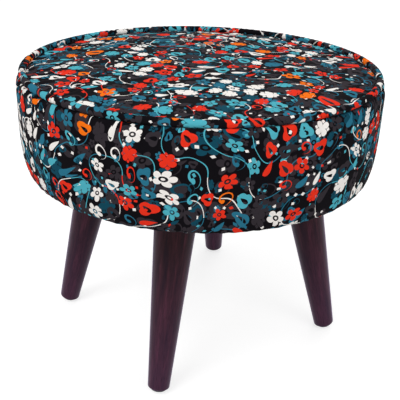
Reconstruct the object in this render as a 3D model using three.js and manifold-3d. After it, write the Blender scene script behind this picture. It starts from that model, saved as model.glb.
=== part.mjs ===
// A round upholstered tuffet on four turned, tapered legs that splay outwards.
// Millimetres, +Z up. The origin is on the floor, under the middle of the seat.
// The front leg points along -Y and the right leg along +X.

import * as THREE from 'three';
import { mergeVertices } from 'three/addons/utils/BufferGeometryUtils.js';
import Module from 'manifold-3d';

const wasm = await Module();
wasm.setup();

// Whole stool
const drum_depth = 126;
const drum_diameter = 450;
const underside_height = 236;
const seat_gap = 0.3;
const overrun = 2;

// Facets round the drum and round the smaller turned pieces
const drum_sides = 48;
const leg_sides = 24;
const boss_sides = 24;
const bolt_sides = 12;
const screw_sides = 8;
const glide_sides = 16;
const foot_round_steps = 3;
const plate_corner_steps = 3;

// Fabric cover, sewn with a piping between its top and its side
const fabric_thickness = 1.2;
const piping_diameter = 8.6;
const piping_fabric_thickness = 0.8;
const piping_inset = 8;
const seam_allowance = 10;
const crown_rise = 10;
const crown_flat_radius = 20;
const belly_drop = 26;
const lower_edge_inset = 4;
const hem_width = 24;
const hem_lift = 2;

// Boards, posts and hoop inside the drum
const base_board_thickness = 15;
const seat_board_thickness = 12;
const seat_foam_thickness = 42;
const side_foam_thickness = 10;
const hoop_thickness = 3;
const post_width = 40;
const post_edge_distance = 41;
const post_screw_bite_share = 0.45;

// Black dust cover under the drum
const dust_cover_thickness = 0.8;
const dust_cover_lap = 12;
const dust_cover_step = 4;

// Legs
const leg_inset = 93;
const leg_splay_deg = 13.3;
const leg_top_diameter = 52;
const leg_foot_diameter = 26.6;
const leg_foot_round = 2.5;
const leg_top_chamfer = 1;
const leg_edge_clearance = 0.6;

// Steel leg plate with a tilted boss
const plate_width = 64;
const plate_thickness = 3;
const plate_corner_radius = 8;
const plate_screw_offset = 24;
const plate_lap = 2.5;
const boss_diameter = 40;

// Hanger bolt
const bolt_diameter = 8;
const bolt_depth_in_leg = 32;
const bolt_tip_length = 6;
const bolt_tip_share = 0.25;
const bolt_reach_in_board = 11;
const bolt_chamfer = 1;
const board_bolt_hole_diameter = 20;

// Pan-head wood screws
const screw_diameter = 4;
const screw_head_diameter = 8;
const screw_head_height = 2.4;
const screw_tip_length = 3;
const screw_tip_share = 0.25;
const screw_head_top_share = 0.6;
const plate_screw_length = 15;

// Plastic glide pushed into each foot
const glide_diameter = 19;
const glide_thickness = 2.6;
const glide_chamfer = 0.8;
const glide_pin_diameter = 6;
const glide_pin_length = 9;

// Where each leg and each post stands, in degrees from +X, and how far a leg's plate is turned
// about its own middle. The hand-fitted legs are a little off an even quarter.
const front_leg_deg = -90;
const right_leg_deg = 0;
const rear_leg_deg = 91;
const left_leg_deg = 184;
const front_right_post_deg = -46;
const rear_right_post_deg = 45;
const rear_left_post_deg = 137;
const front_left_post_deg = 226;
const front_leg_swing_deg = -10;
const right_leg_swing_deg = 0;
const rear_leg_swing_deg = 0;
const left_leg_swing_deg = 0;

// Colours
const fabric_black = '#1b171c';
const fabric_teal = '#23606d';
const piping_plum = '#3a2d38';
const walnut = '#3c2529';
const steel_grey = '#8d9093';
const zinc_grey = '#a9abad';
const nylon_black = '#26262a';
const birch = '#caa878';
const fibreboard = '#8a5f3c';
const foam_cream = '#e6dcb8';
const cord_white = '#d9d6cc';
const felt_black = '#17171a';

// Drum sizes that follow from the ones above
const leg_bearings_deg = {
  front: front_leg_deg,
  right: right_leg_deg,
  rear: rear_leg_deg,
  left: left_leg_deg,
};
const leg_swings_deg = {
  front: front_leg_swing_deg,
  right: right_leg_swing_deg,
  rear: rear_leg_swing_deg,
  left: left_leg_swing_deg,
};
const post_bearings_deg = {
  front_right: front_right_post_deg,
  rear_right: rear_right_post_deg,
  rear_left: rear_left_post_deg,
  front_left: front_left_post_deg,
};
const drum_radius = drum_diameter / 2;
const overall_height = underside_height + drum_depth;
const piping_radius = piping_diameter / 2;
const seam_radius = drum_radius - piping_inset;
const piping_height = overall_height - piping_radius;
const seam_height = overall_height - piping_diameter;
const seam_half_width = piping_fabric_thickness + seat_gap / 2;
const cover_seam_inset = seam_half_width + seat_gap;
const belly_height = seam_height - belly_drop;
const lower_edge_radius = drum_radius - lower_edge_inset;
const cover_inner_gap = fabric_thickness + seat_gap;

const hoop_outer_radius = lower_edge_radius - cover_inner_gap - side_foam_thickness - seat_gap;
const hoop_inner_radius = hoop_outer_radius - hoop_thickness;
const board_radius = hoop_inner_radius - seat_gap;
const post_ring_radius = board_radius - post_edge_distance;
const side_foam_inner_radius = hoop_outer_radius + seat_gap;
const corner_radius = lower_edge_radius - side_foam_inner_radius;

const hem_height = underside_height + hem_lift;
const hem_outer_radius = board_radius;
const hem_inner_radius = hem_outer_radius - hem_width;
const base_board_height = hem_height + fabric_thickness + seat_gap;
const base_board_top = base_board_height + base_board_thickness;
const seat_foam_height = seam_height - seat_foam_thickness;
const seat_board_top = seat_foam_height - seat_gap;
const seat_board_height = seat_board_top - seat_board_thickness;

const post_height = seat_board_height - base_board_top - 2 * seat_gap;
const post_screw_bite = post_height * post_screw_bite_share;
const post_screw_sink = screw_head_height + seat_gap;

const dust_cover_radius = hem_inner_radius + dust_cover_lap;
const dust_cover_top = base_board_height - seat_gap;
const dust_cover_bottom = dust_cover_top - dust_cover_thickness;
const dust_cover_rim_top = hem_height - seat_gap;
const dust_cover_rim_bottom = dust_cover_rim_top - dust_cover_thickness;

// Leg sizes that follow from the ones above
const splay = THREE.MathUtils.degToRad(leg_splay_deg);
const leg_ring_radius = drum_radius - leg_inset;
const leg_top_radius = leg_top_diameter / 2;
const leg_foot_radius = leg_foot_diameter / 2;
const plate_top = dust_cover_bottom - seat_gap;
const plate_bottom = plate_top - plate_thickness;
const boss_face_rise = leg_top_radius * Math.sin(splay) + leg_edge_clearance;
const leg_top_height = plate_bottom - boss_face_rise;
const glide_face_radius = glide_diameter / 2 - glide_chamfer;
const reach_to_floor = leg_top_height - glide_face_radius * Math.sin(splay);
const leg_length = reach_to_floor / Math.cos(splay) - glide_thickness - seat_gap;
const bolt_hole_radius = bolt_diameter / 2 + seat_gap;
const screw_hole_radius = screw_diameter / 2 + seat_gap;
const screw_head_hole_radius = screw_head_diameter / 2 + seat_gap;

// The group at the top of each leg: its own Z runs along the leg and its X points outwards.
const leg_axis = new THREE.Matrix4().makeRotationY(-splay);
leg_axis.setPosition(leg_ring_radius, 0, leg_top_height);

// Shapes shared by several pieces

// Points along a quarter or any other piece of an ellipse, from one angle to another.
function arc(centre_r, centre_z, half_r, half_z, from_deg, to_deg, steps) {
  const points = [];
  for (let i = 0; i <= steps; i++) {
    const t = THREE.MathUtils.degToRad(from_deg + ((to_deg - from_deg) * i) / steps);
    points.push([centre_r + half_r * Math.cos(t), centre_z + half_z * Math.sin(t)]);
  }
  return points;
}

// A profile of [radius, height] points turned round the Z axis.
function turned(profile, sides) {
  const points = profile.map(([r, z]) => new THREE.Vector2(r, z));
  return new THREE.LatheGeometry(points, sides).rotateX(Math.PI / 2);
}

// A closed geometry as a solid that can be joined and cut.
function solid(geometry) {
  const bare = geometry.clone();
  bare.deleteAttribute('normal');
  bare.deleteAttribute('uv');
  const merged = mergeVertices(bare, 1e-4);
  const vertProperties = new Float32Array(merged.attributes.position.array);
  const triVerts = new Uint32Array(merged.index.array);
  return new wasm.Manifold(new wasm.Mesh({ numProp: 3, vertProperties, triVerts }));
}

// A joined or cut solid as a geometry again.
function geometryOf(body) {
  const mesh = body.getMesh();
  const geometry = new THREE.BufferGeometry();
  geometry.setAttribute('position', new THREE.BufferAttribute(mesh.vertProperties, 3));
  geometry.setIndex(new THREE.BufferAttribute(mesh.triVerts, 1));
  geometry.computeVertexNormals();
  return geometry;
}

// A plain round bar along Z between two heights, placed at x, y.
function bar(radius, low, high, sides, x = 0, y = 0) {
  return turned([[0, low], [radius, low], [radius, high], [0, high]], sides).translate(x, y, 0);
}

function material(color, roughness, metalness = 0) {
  return new THREE.MeshStandardMaterial({ color, roughness, metalness });
}

function piece(name, geometry, finish) {
  const mesh = new THREE.Mesh(geometry, finish);
  mesh.name = name;
  return mesh;
}

const tuffet = new THREE.Group();

// Drum profile: the outer face of the side cover, from the piping down to the hem.
// Inset moves the whole line inwards, for the inner face of the fabric or for the foam.
// The shoulder is squarer than a quarter of an ellipse, because the cover is pulled tight.
const shoulder_power = 3;
const shoulder_steps = 3;
const side_steps = 2;
const corner_steps = 3;

const shoulder_reach = drum_radius - seam_radius - cover_seam_inset;
const shoulder_centre = drum_radius - shoulder_reach;
const corner_height = underside_height + corner_radius;

function shoulder(inset) {
  const quarter = arc(0, 0, 1, 1, 90, 0, shoulder_steps);
  return quarter.map(([across, up]) => [
    shoulder_centre + (shoulder_reach - inset) * Math.abs(across) ** (2 / shoulder_power),
    belly_height + (belly_drop - inset) * up ** (2 / shoulder_power),
  ]);
}

function sideWall(inset) {
  const points = [];
  for (let i = 1; i <= side_steps; i++) {
    const t = i / side_steps;
    const radius = drum_radius - lower_edge_inset * t * t;
    points.push([radius - inset, belly_height + (corner_height - belly_height) * t]);
  }
  return points;
}

function lowerCorner(inset) {
  const half = corner_radius - inset;
  return arc(side_foam_inner_radius, corner_height, half, half, 0, -90, corner_steps).slice(1);
}

function drumLine(inset) {
  return [...shoulder(inset), ...sideWall(inset), ...lowerCorner(inset)];
}

// Side cover: a band of fabric, sewn to the piping, drawn round the lower edge and hemmed under it.
function sideCover() {
  const outer = drumLine(0);
  const inner = drumLine(fabric_thickness);
  const hem_top = hem_height + fabric_thickness;
  const hem = [
    [hem_outer_radius, hem_height],
    [hem_inner_radius, hem_height],
    [hem_inner_radius, hem_top],
    [hem_outer_radius, hem_top],
  ];
  const line = [...outer, ...hem, ...inner.reverse()].reverse();
  return turned([...line, line[0]], drum_sides);
}

// Crown of the seat: rises steeply from the seam and levels out to a flat middle.
const crown_edge_radius = seam_radius - cover_seam_inset;
const crown_power = 2.3;
const crown_shares = [0.98, 0.92, 0.8, 0.5];

function crown(radius, base, rise) {
  const points = [[radius, base]];
  for (const share of crown_shares) {
    points.push([radius * share, base + rise * (1 - share ** crown_power) ** (1 / crown_power)]);
  }
  points.push([crown_flat_radius, base + rise]);
  return points;
}

const crown_base = seam_height - seat_gap;
const crown_under = crown_base - fabric_thickness;

function topCover() {
  const top = crown(crown_edge_radius, crown_base, crown_rise);
  const under = crown(crown_edge_radius, crown_under, crown_rise);
  const under_middle = [0, crown_under + crown_rise];
  const top_middle = [0, crown_base + crown_rise];
  return turned([under_middle, ...under.reverse(), ...top, top_middle], drum_sides);
}

// Piping: a cord in a folded strip of fabric, whose two edges run down into the seam.
const piping_steps = 8;

const slot_half_width = seat_gap / 2;
const piping_bore_radius = piping_radius - piping_fabric_thickness;
const cord_radius = piping_bore_radius - seat_gap;

// An arc round the cord that stops a half opening short of straight down on both sides.
function pipingArc(radius, half_opening) {
  const open = THREE.MathUtils.radToDeg(Math.asin(half_opening / radius));
  return arc(seam_radius, piping_height, radius, radius, -90 + open, 270 - open, piping_steps);
}

function pipingCover() {
  const seam_low = seam_height - seam_allowance;
  const outer = pipingArc(piping_radius, seam_half_width);
  const inner = pipingArc(piping_bore_radius, slot_half_width).reverse();
  const line = [
    [seam_radius + slot_half_width, seam_low],
    [seam_radius + seam_half_width, seam_low],
    ...outer,
    [seam_radius - seam_half_width, seam_low],
    [seam_radius - slot_half_width, seam_low],
    ...inner,
  ];
  return turned([...line, line[0]], drum_sides);
}

function pipingCord() {
  return turned(pipingArc(cord_radius, 0), drum_sides);
}

// Foam: a seat pad under the crown, and a band round the hoop that rounds over the lower edge.
const pad_top = crown_under - seat_gap;

function seatFoam() {
  const bottom = [[0, seat_foam_height], [crown_edge_radius, seat_foam_height]];
  const top = crown(crown_edge_radius, pad_top, crown_rise);
  return turned([...bottom, ...top, [0, pad_top + crown_rise]], drum_sides);
}

function sideFoam() {
  const top = seam_height - seam_allowance - seat_gap;
  const climb = (top - belly_height) / (belly_drop - cover_inner_gap);
  const top_share = (1 - climb ** shoulder_power) ** (1 / shoulder_power);
  const top_reach = (shoulder_reach - cover_inner_gap) * top_share;
  const line = [
    [crown_edge_radius + seat_gap, top],
    [shoulder_centre + top_reach, top],
    ...drumLine(cover_inner_gap).filter(([, z]) => z < top),
    [side_foam_inner_radius, seat_board_top],
    [crown_edge_radius + seat_gap, seat_board_top],
  ].reverse();
  return turned([...line, line[0]], drum_sides);
}

// Hoop: thin fibreboard bent round the edges of both boards.
function hoop() {
  const line = [
    [hoop_inner_radius, base_board_height],
    [hoop_outer_radius, base_board_height],
    [hoop_outer_radius, seat_board_top],
    [hoop_inner_radius, seat_board_top],
  ];
  return turned([...line, line[0]], drum_sides);
}

// Places of the four posts and of each plate's four screws
function postPlaces() {
  return Object.values(post_bearings_deg).map((bearing) => {
    const t = THREE.MathUtils.degToRad(bearing);
    return [post_ring_radius * Math.cos(t), post_ring_radius * Math.sin(t)];
  });
}

const plate_screw_signs = [[1, 1], [-1, 1], [-1, -1], [1, -1]];
const bolt_shift = (plate_top - leg_top_height) * Math.tan(splay);
const plate_centre = leg_ring_radius - bolt_shift;

// A leg is drawn on +X with all that holds it. Each of the four is swung about the middle of its
// plate, then turned about the stool's axis to its place.
function legPlacings() {
  return Object.keys(leg_bearings_deg).map((place) => {
    const swing = THREE.MathUtils.degToRad(leg_swings_deg[place]);
    const turn = THREE.MathUtils.degToRad(leg_bearings_deg[place]);
    return new THREE.Matrix4()
      .makeRotationZ(turn)
      .multiply(new THREE.Matrix4().makeTranslation(plate_centre, 0, 0))
      .multiply(new THREE.Matrix4().makeRotationZ(swing))
      .multiply(new THREE.Matrix4().makeTranslation(-plate_centre, 0, 0));
  });
}

function plateScrewPlaces() {
  return plate_screw_signs.map(([across, along]) => [
    plate_centre + across * plate_screw_offset,
    along * plate_screw_offset,
  ]);
}

// Base board: plywood, with clearance holes for the bolts, pilot holes for the plates and sunk
// holes for the screws of the posts.
function baseBoard() {
  let board = solid(bar(board_radius, base_board_height, base_board_top, drum_sides));
  const pilot_top = plate_bottom + plate_screw_length + seat_gap;
  const sink_top = base_board_height + screw_head_height + 2 * seat_gap;
  const board_middle = (base_board_height + base_board_top) / 2;
  const bolt_drift = (board_middle - leg_top_height) * Math.tan(splay);
  const bolt_hole = bar(
    board_bolt_hole_diameter / 2,
    base_board_height - overrun,
    base_board_top + overrun,
    bolt_sides,
    leg_ring_radius - bolt_drift,
  );
  for (const placing of legPlacings()) {
    board = board.subtract(solid(bolt_hole.clone().applyMatrix4(placing)));
    for (const [x, y] of plateScrewPlaces()) {
      const pilot = bar(screw_hole_radius, base_board_height - overrun, pilot_top, screw_sides, x, y);
      board = board.subtract(solid(pilot.applyMatrix4(placing)));
    }
  }
  const low = base_board_height - overrun;
  const high = base_board_top + overrun;
  for (const [x, y] of postPlaces()) {
    const shank = bar(screw_hole_radius, low, high, screw_sides, x, y);
    const sink = bar(screw_head_hole_radius, low, sink_top, screw_sides, x, y);
    board = board.subtract(solid(shank)).subtract(solid(sink));
  }
  return geometryOf(board);
}

// Seat board: plywood, screwed down into the posts.
function seatBoard() {
  let board = solid(bar(board_radius, seat_board_height, seat_board_top, drum_sides));
  const sink_bottom = seat_board_top - screw_head_height - 2 * seat_gap;
  const low = seat_board_height - overrun;
  const high = seat_board_top + overrun;
  for (const [x, y] of postPlaces()) {
    const shank = bar(screw_hole_radius, low, high, screw_sides, x, y);
    const sink = bar(screw_head_hole_radius, sink_bottom, high, screw_sides, x, y);
    board = board.subtract(solid(shank)).subtract(solid(sink));
  }
  return geometryOf(board);
}

// Post: a square block of wood with a pilot hole in each end, standing on its middle.
function post() {
  const block = new THREE.BoxGeometry(post_width, post_width, post_height);
  const half = post_height / 2;
  const pilot = post_screw_bite + seat_gap;
  const low_hole = bar(screw_hole_radius, -half - overrun, -half + pilot, screw_sides);
  const high_hole = bar(screw_hole_radius, half - pilot, half + overrun, screw_sides);
  return geometryOf(solid(block).subtract(solid(low_hole)).subtract(solid(high_hole)));
}

// Dust cover: thin cloth, flat under the board, stepped down over the hem and cut away inside
// each leg plate.
function dustCover() {
  const flat_radius = hem_inner_radius - seat_gap - dust_cover_step;
  const step_radius = hem_inner_radius - seat_gap;
  let cloth = solid(turned([
    [0, dust_cover_bottom],
    [flat_radius, dust_cover_bottom],
    [step_radius, dust_cover_rim_bottom],
    [dust_cover_radius, dust_cover_rim_bottom],
    [dust_cover_radius, dust_cover_rim_top],
    [step_radius, dust_cover_rim_top],
    [flat_radius, dust_cover_top],
    [0, dust_cover_top],
  ], drum_sides));
  const width = plate_width - 2 * plate_lap;
  const height = dust_cover_thickness + 2 * overrun;
  for (const placing of legPlacings()) {
    const window = new THREE.BoxGeometry(width, width, height);
    window.translate(plate_centre, 0, (dust_cover_bottom + dust_cover_top) / 2);
    cloth = cloth.subtract(solid(window.applyMatrix4(placing)));
  }
  return geometryOf(cloth);
}

// Pan-head screw along Z: the head's seat is at zero, the head above it and the shank below.
function screw(length) {
  const shank_radius = screw_diameter / 2;
  const head_radius = screw_head_diameter / 2;
  const tip_radius = shank_radius * screw_tip_share;
  const head_top_radius = head_radius * screw_head_top_share;
  return turned([
    [0, -length],
    [tip_radius, -length],
    [shank_radius, -length + screw_tip_length],
    [shank_radius, 0],
    [head_radius, 0],
    [head_radius, screw_head_height / 2],
    [head_top_radius, screw_head_height],
    [0, screw_head_height],
  ], screw_sides);
}

// Leg: turned and tapered, square to its own axis at both ends, bored for the bolt and for the glide.
function leg() {
  const bore_depth = bolt_depth_in_leg + seat_gap;
  const pin_hole_radius = glide_pin_diameter / 2 + seat_gap;
  const foot = -leg_length;
  const pin_hole_top = foot + glide_pin_length + seat_gap;
  const taper_share = leg_foot_round / leg_length;
  const round_radius = leg_foot_radius + (leg_top_radius - leg_foot_radius) * taper_share;
  const round_centre = round_radius - leg_foot_round;
  const round_height = foot + leg_foot_round;
  return turned([
    [0, pin_hole_top],
    [pin_hole_radius, pin_hole_top],
    [pin_hole_radius, foot],
    ...arc(round_centre, round_height, leg_foot_round, leg_foot_round, -90, 0, foot_round_steps),
    [leg_top_radius, -leg_top_chamfer],
    [leg_top_radius - leg_top_chamfer, 0],
    [bolt_hole_radius, 0],
    [bolt_hole_radius, -bore_depth],
    [0, -bore_depth],
  ], leg_sides);
}

// Hanger bolt: a wood thread and point in the leg, a machine thread through the plate into the
// board's clearance hole.
function hangerBolt() {
  const radius = bolt_diameter / 2;
  const top = (base_board_height + bolt_reach_in_board - leg_top_height) / Math.cos(splay);
  return turned([
    [0, -bolt_depth_in_leg],
    [radius * bolt_tip_share, -bolt_depth_in_leg],
    [radius, -bolt_depth_in_leg + bolt_tip_length],
    [radius, top - bolt_chamfer],
    [radius - bolt_chamfer, top],
    [0, top],
  ], bolt_sides);
}

// Leg plate: a flat flange with rounded corners and four holes, and a boss whose face is square
// to the leg.
function legPlate() {
  const half = plate_width / 2;
  const straight = half - plate_corner_radius;
  const outline = new THREE.Shape();
  outline.moveTo(half, -straight);
  outline.absarc(straight, straight, plate_corner_radius, 0, Math.PI / 2);
  outline.absarc(-straight, straight, plate_corner_radius, Math.PI / 2, Math.PI);
  outline.absarc(-straight, -straight, plate_corner_radius, Math.PI, 1.5 * Math.PI);
  outline.absarc(straight, -straight, plate_corner_radius, 1.5 * Math.PI, 2 * Math.PI);
  const flange = new THREE.ExtrudeGeometry(outline, {
    depth: plate_thickness,
    bevelEnabled: false,
    curveSegments: plate_corner_steps,
  });
  flange.translate(plate_centre, 0, plate_bottom);

  const boss_length = 2 * boss_face_rise + plate_thickness + boss_diameter;
  const boss = solid(bar(boss_diameter / 2, seat_gap, boss_length, boss_sides).applyMatrix4(leg_axis));
  const middle_height = plate_bottom + plate_thickness / 2;
  const block = new THREE.BoxGeometry(2 * boss_length, 2 * boss_length, 2 * boss_length);
  block.translate(plate_centre, 0, middle_height + boss_length);
  let body = solid(flange).add(boss.subtract(solid(block)));

  const bolt_hole = bar(bolt_hole_radius, -overrun, boss_length, bolt_sides).applyMatrix4(leg_axis);
  body = body.subtract(solid(bolt_hole));
  for (const [x, y] of plateScrewPlaces()) {
    const hole = bar(screw_hole_radius, plate_bottom - overrun, plate_top + overrun, screw_sides, x, y);
    body = body.subtract(solid(hole));
  }
  return geometryOf(body);
}

// Glide: a plastic disc under the foot, held by a pin in the leg's end.
function glide() {
  const radius = glide_diameter / 2;
  const pin_radius = glide_pin_diameter / 2;
  const top = -leg_length - seat_gap;
  const bottom = top - glide_thickness;
  return turned([
    [0, bottom],
    [glide_face_radius, bottom],
    [radius, bottom + glide_chamfer],
    [radius, top],
    [pin_radius, top],
    [pin_radius, top + glide_pin_length],
    [0, top + glide_pin_length],
  ], glide_sides);
}

// Assembly of the drum
tuffet.add(piece('base_board', baseBoard(), material(birch, 0.7)));
tuffet.add(piece('seat_board', seatBoard(), material(birch, 0.7)));
tuffet.add(piece('hoop', hoop(), material(fibreboard, 0.8)));
tuffet.add(piece('seat_foam', seatFoam(), material(foam_cream, 0.95)));
tuffet.add(piece('side_foam', sideFoam(), material(foam_cream, 0.95)));
tuffet.add(piece('top_cover', topCover(), material(fabric_teal, 0.85)));
tuffet.add(piece('side_cover', sideCover(), material(fabric_black, 0.85)));
tuffet.add(piece('piping_cover', pipingCover(), material(piping_plum, 0.85)));
tuffet.add(piece('piping_cord', pipingCord(), material(cord_white, 0.95)));
tuffet.add(piece('dust_cover', dustCover(), material(felt_black, 0.95)));

// Assembly of the posts between the boards, each with a screw from below and one from above
const post_geometry = post();
const low_screw = screw(base_board_thickness - post_screw_sink + seat_gap + post_screw_bite);
const high_screw = screw(seat_board_thickness - post_screw_sink + seat_gap + post_screw_bite);
const post_middle = (base_board_top + seat_board_height) / 2;
const low_screw_seat = base_board_height + post_screw_sink;
const high_screw_seat = seat_board_top - post_screw_sink;
const zinc_plate = material(zinc_grey, 0.4, 0.9);

Object.entries(post_bearings_deg).forEach(([place, bearing], i) => {
  const [x, y] = postPlaces()[i];
  const block = piece(`${place}_post`, post_geometry, material(birch, 0.75));
  block.position.set(x, y, post_middle);
  block.rotation.z = THREE.MathUtils.degToRad(bearing);
  const low = piece(`${place}_post_lower_screw`, low_screw, zinc_plate);
  low.position.set(x, y, low_screw_seat);
  low.rotation.x = Math.PI;
  const high = piece(`${place}_post_upper_screw`, high_screw, zinc_plate);
  high.position.set(x, y, high_screw_seat);
  tuffet.add(block, low, high);
});

// Assembly of the legs, each on its own plate
const leg_geometry = leg();
const bolt_geometry = hangerBolt();
const plate_geometry = legPlate();
const glide_geometry = glide();
const plate_screw_geometry = screw(plate_screw_length);

Object.keys(leg_bearings_deg).forEach((place, k) => {
  const corner = new THREE.Group();
  corner.applyMatrix4(legPlacings()[k]);
  corner.add(piece(`${place}_leg_plate`, plate_geometry, material(steel_grey, 0.45, 0.9)));
  plateScrewPlaces().forEach(([x, y], i) => {
    const fixing = piece(`${place}_plate_screw_${i + 1}`, plate_screw_geometry, zinc_plate);
    fixing.position.set(x, y, plate_bottom - seat_gap);
    fixing.rotation.x = Math.PI;
    corner.add(fixing);
  });
  const tilted = new THREE.Group();
  tilted.applyMatrix4(leg_axis);
  tilted.add(piece(`${place}_leg`, leg_geometry, material(walnut, 0.45)));
  tilted.add(piece(`${place}_hanger_bolt`, bolt_geometry, zinc_plate));
  tilted.add(piece(`${place}_glide`, glide_geometry, material(nylon_black, 0.6)));
  corner.add(tilted);
  tuffet.add(corner);
});

export default tuffet;
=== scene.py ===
# %% [markdown]
# A round tuffet: a padded drum in printed cotton, with a piping round its top edge, on four
# turned and tapered wooden legs that splay outwards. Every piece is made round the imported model,
# in the same frame: +Z is up, the floor is at zero and the stool's front is towards -Y.
# %% Load the frame
import math
from functools import partial

import bpy
import numpy as np
from mathutils import Matrix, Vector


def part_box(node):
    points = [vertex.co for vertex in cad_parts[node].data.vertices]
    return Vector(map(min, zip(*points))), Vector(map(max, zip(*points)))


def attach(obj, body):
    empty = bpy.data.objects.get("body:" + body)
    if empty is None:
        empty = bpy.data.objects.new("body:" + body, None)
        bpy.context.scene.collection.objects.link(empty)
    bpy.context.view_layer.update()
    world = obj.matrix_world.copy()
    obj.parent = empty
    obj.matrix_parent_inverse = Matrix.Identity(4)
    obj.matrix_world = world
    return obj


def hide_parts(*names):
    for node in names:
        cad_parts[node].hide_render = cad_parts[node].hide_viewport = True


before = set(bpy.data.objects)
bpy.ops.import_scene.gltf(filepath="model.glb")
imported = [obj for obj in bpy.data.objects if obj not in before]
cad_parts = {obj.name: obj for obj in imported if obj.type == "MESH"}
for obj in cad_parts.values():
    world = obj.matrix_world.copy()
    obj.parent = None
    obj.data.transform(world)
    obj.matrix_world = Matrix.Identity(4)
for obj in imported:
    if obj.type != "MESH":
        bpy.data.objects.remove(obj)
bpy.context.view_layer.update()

MM = 0.001


def into_scene(name, data):
    """The scene's new object, made of a mesh, a lamp or a camera."""
    thing = bpy.data.objects.new(name, data)
    bpy.context.scene.collection.objects.link(thing)
    return thing

# %% [markdown]
# The camera stands where the photographer stood, about 1.1 m away. Its place and its angles come
# from fitting a pinhole camera to the drum's two rims and to all four legs.
# %% Camera
camera_azimuth_deg = 10
camera_distance_mm = 885.3
camera_height_mm = 589.4
look_down_deg = 25.13
look_aside_deg = 0.21
tilt_deg = 1.684
focal_px = 725.2
image_px = 400
sensor_mm = 36
nearest_seen_m = 0.01


def turned_about_z(vectors, degrees):
    """Vectors turned about Z: x cos - y sin, x sin + y cos, and z as it was."""
    c, s = math.cos(math.radians(degrees)), math.sin(math.radians(degrees))
    return np.asarray(vectors, float) @ np.array([[c, s, 0], [-s, c, 0], [0, 0, 1]])


def photo_camera():
    """Camera matrix from its place, the way it looks and its tilt about that line."""
    down, aside, tilt = (math.radians(a) for a in (look_down_deg, look_aside_deg, tilt_deg))
    forward = np.array([
        math.sin(aside) * math.cos(down), math.cos(aside) * math.cos(down), -math.sin(down)])
    right = np.cross(forward, (0, 0, 1))
    right /= np.linalg.norm(right)
    up = np.cross(right, forward)
    c, s = math.cos(tilt), math.sin(tilt)
    right, up = c * right + s * up, c * up - s * right
    stand = np.array([0, -camera_distance_mm, camera_height_mm]) * MM
    matrix = np.eye(4)
    matrix[:3, :] = turned_about_z([right, up, -forward, stand], camera_azimuth_deg).T
    return matrix


camera_data = bpy.data.cameras.new("photo_camera")
camera_data.sensor_width = sensor_mm
camera_data.lens = focal_px / image_px * sensor_mm
camera_data.clip_start = nearest_seen_m
camera = into_scene("photo_camera", camera_data)
camera.matrix_world = Matrix(photo_camera().tolist())
bpy.context.scene.camera = camera
print("lens", round(camera_data.lens, 1), "mm, camera at", camera.location)

# %% [markdown]
# Colours are written as sRGB hex, and Blender wants linear light, so one function turns them. One
# more adds a shader node: its operation stands behind its kind, its other settings go in by name,
# and its sockets take numbers, colours or other nodes' outputs.
# %% Colours and shader nodes
def linear(hex_colour):
    """Linear RGBA of an sRGB hex: c / 12.92 up to 0.04045, else ((c + 0.055) / 1.055) ** 2.4."""
    c = np.array([int(hex_colour[i:i + 2], 16) for i in (1, 3, 5)]) / 255
    light = np.where(c <= 0.04045, c / 12.92, ((c + 0.055) / 1.055) ** 2.4)
    return (*map(float, light), 1.0)


def add_node(tree, kind, *inputs, out=0, sockets=None, stops=None, ramp="LINEAR", **settings):
    """Adds a node and returns the output that out names, or all of them where out is None.

    Sockets take the inputs in their order, and stops are a colour ramp's (place, hex) pairs."""
    kind, _, operation = kind.partition(" ")
    node = tree.nodes.new("ShaderNode" + kind)
    if operation:
        node.operation = operation
    for name, value in settings.items():
        setattr(node, name, value)
    if stops:
        node.color_ramp.interpolation = ramp
        while len(node.color_ramp.elements) < len(stops):
            node.color_ramp.elements.new(1)
        for element, (position, colour) in zip(node.color_ramp.elements, stops):
            element.position = position
            element.color = linear(colour)
    pairs = list(zip([s for s in node.inputs if s.enabled], inputs))
    pairs += [(node.inputs[name], value) for name, value in (sockets or {}).items()]
    for socket, value in pairs:
        if isinstance(value, bpy.types.NodeSocket):
            tree.links.new(value, socket)
        elif value is not None:
            socket.default_value = value
    return node.outputs if out is None else node.outputs[out]


def new_material(name):
    """A material with an empty node tree, and add_node for that tree."""
    material = bpy.data.materials.new(name)
    material.use_nodes = True
    material.node_tree.nodes.clear()
    return material, partial(add_node, material.node_tree)


def finish_surface(material, add, colour, roughness, bump, more=None):
    """Ends a material. bump is its strength, its depth in mm and the height that it follows."""
    strength, depth_mm, height = bump
    normal = add("Bump", sockets={
        "Strength": strength, "Distance": depth_mm * MM, "Height": height})
    shader = add("BsdfPrincipled", sockets={
        "Base Color": colour, "Roughness": roughness, "Normal": normal, **(more or {})})
    add("OutputMaterial", shader, out=None)
    return material

# %% [markdown]
# Nearly every piece is round, so it is a grid of points: rows that follow its section, and
# columns that go round it. One function turns such a grid into a mesh. The cloth's own
# coordinates, in millimetres along and across the weave, go into a UV map for the print.
# %% From a grid of points to a piece
def grid_faces(rows, columns, stride, closed=False, poles=False):
    """Faces of a grid whose columns go round a piece, as numbers of points: one for each cell.

    closed joins the last row to the first, and poles are two more points, in the middle of the
    first row and of the last. stride is how many points a row holds: the columns, or one more
    where a row doesn't end where it began."""
    i = np.arange(rows if closed else rows - 1)[:, None]
    j = np.arange(columns)
    here, below, beside = i * stride, (i + 1) % rows * stride, (j + 1) % stride
    cells = np.stack([here + j, below + j, below + beside, here + beside], -1)
    faces = cells.reshape(-1, 4).tolist()
    if poles:
        last, pole = (rows - 1) * stride, np.full(columns, rows * stride)
        faces += np.stack([pole, j, beside], -1).tolist()
        faces += np.stack([pole + 1, last + beside, last + j], -1).tolist()
    return faces


def mesh_in_mm(name, points, faces):
    """A mesh whose points are given in mm."""
    mesh = bpy.data.meshes.new(name)
    mesh.from_pydata((points * MM).tolist(), [], faces)
    return mesh


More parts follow.
